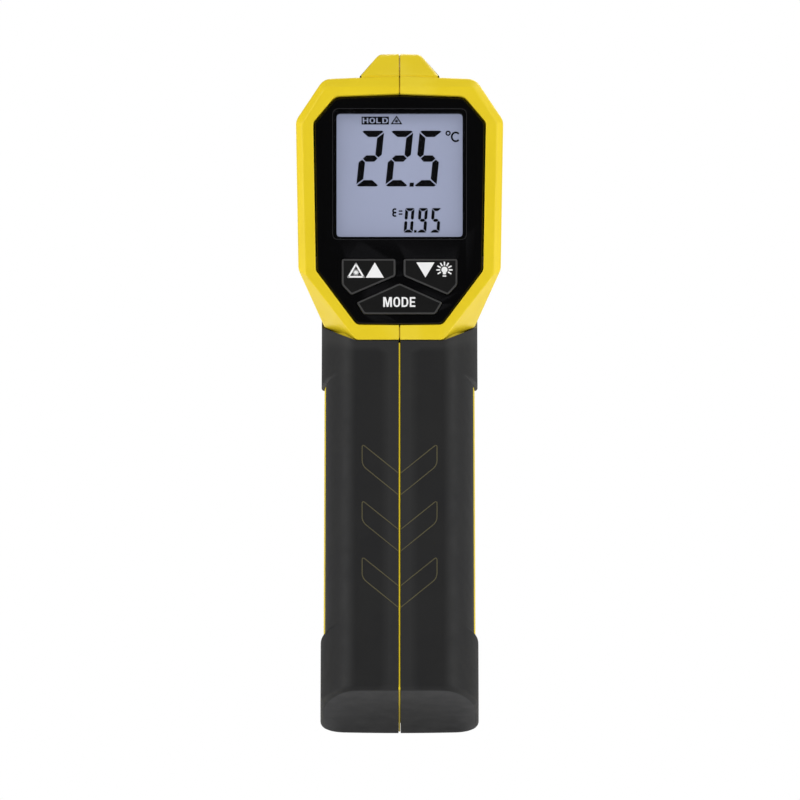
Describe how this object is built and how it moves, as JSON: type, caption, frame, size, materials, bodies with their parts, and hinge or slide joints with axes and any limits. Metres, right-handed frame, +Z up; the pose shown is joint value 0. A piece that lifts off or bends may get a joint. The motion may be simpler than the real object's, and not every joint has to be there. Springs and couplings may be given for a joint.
{
  "type": "infrared thermometer",
  "caption": "Pistol-grip infrared thermometer with a tilted display, press keys, a sprung trigger, a laser pointer in the top ridge and a hinged battery door.",
  "frame": {"origin": "under the middle of the bounding box, level with the front edge of the grip's base, with the barrel level", "axes": "+Z up; +Y towards the muzzle; the display faces -Y; +X is the user's right"},
  "size_m": [0.0488, 0.1146, 0.16],
  "materials": {
    "yellow_shell": "moulded yellow plastic, fine spark-eroded grain",
    "black_grip": "soft black overmould, fine matt grain",
    "black_panel": "gloss black front panel",
    "clear_window": "clear acrylic window",
    "display": "blue-grey liquid crystal cell with dark segments",
    "diffuser": "white plastic",
    "key_plastic": "satin black key caps",
    "black_plastic": "matt black moulded plastic",
    "silicone": "grey silicone rubber",
    "board": "green circuit board",
    "infrared_lens": "milky infrared lens",
    "steel": "bright steel",
    "brass": "turned brass",
    "battery_jacket": "printed steel jacket, plain",
    "red_lead": "red lead insulation",
    "black_lead": "black lead insulation"
  },
  "bodies": {
    "root": {"left_housing": "yellow_shell", "right_housing": "yellow_shell", "left_grip": "black_grip", "right_grip": "black_grip", "display_bezel": "black_panel", "display_window": "clear_window", "lcd_glass": "display", "lcd_backlight": "diffuser", "lcd_frame": "diffuser", "nose_cap": "black_plastic", "sensor_tube": "black_plastic", "lens_ring": "black_plastic", "trigger_switch": "black_plastic", "controller_chip": "black_plastic", "battery_snap": "black_plastic", "keypad_mat": "silicone", "lcd_connector_strip": "silicone", "display_board": "board", "sensor_board": "board", "lens": "infrared_lens", "thermopile": "steel", "trigger_pin": "steel", "trigger_spring": "steel", "door_pin": "steel", "board_screw_1": "steel", "board_screw_2": "steel", "housing_screw_1": "steel", "housing_screw_2": "steel", "housing_screw_3": "steel", "housing_screw_4": "steel", "housing_screw_5": "steel", "housing_screw_6": "steel", "laser_module": "brass", "battery": "battery_jacket", "battery_lead_red": "red_lead", "laser_lead_red": "red_lead", "switch_lead_red": "red_lead", "battery_lead_black": "black_lead", "laser_lead_black": "black_lead", "switch_lead_black": "black_lead", "sensor_lead": "black_lead"},
    "trigger": {"trigger": "black_plastic"},
    "battery_door": {"battery_door": "yellow_shell"},
    "laser_up_key": {"laser_up_key": "key_plastic"},
    "light_down_key": {"light_down_key": "key_plastic"},
    "mode_key": {"mode_key": "key_plastic"}
  },
  "joints": [
    {"name": "trigger_pull", "type": "hinge", "parent": "root", "child": "trigger", "pos_m": [0, 0.00678, 0.10349], "axis": [-1, 0, 0], "range_deg": [0, 6], "stiffness_Nm_per_rad": 0.5},
    {"name": "battery_door_open", "type": "hinge", "parent": "root", "child": "battery_door", "pos_m": [0, -0.01825, 0.02001], "axis": [-1, 0, 0], "range_deg": [0, 85]},
    {"name": "laser_up_key_press", "type": "slide", "parent": "root", "child": "laser_up_key", "axis": [0, 0.9848, -0.1736], "range_m": [0, 0.0008], "stiffness_N_per_m": 800},
    {"name": "light_down_key_press", "type": "slide", "parent": "root", "child": "light_down_key", "axis": [0, 0.9848, -0.1736], "range_m": [0, 0.0008], "stiffness_N_per_m": 800},
    {"name": "mode_key_press", "type": "slide", "parent": "root", "child": "mode_key", "axis": [0, 0.9848, -0.1736], "range_m": [0, 0.0008], "stiffness_N_per_m": 800}
  ]
}
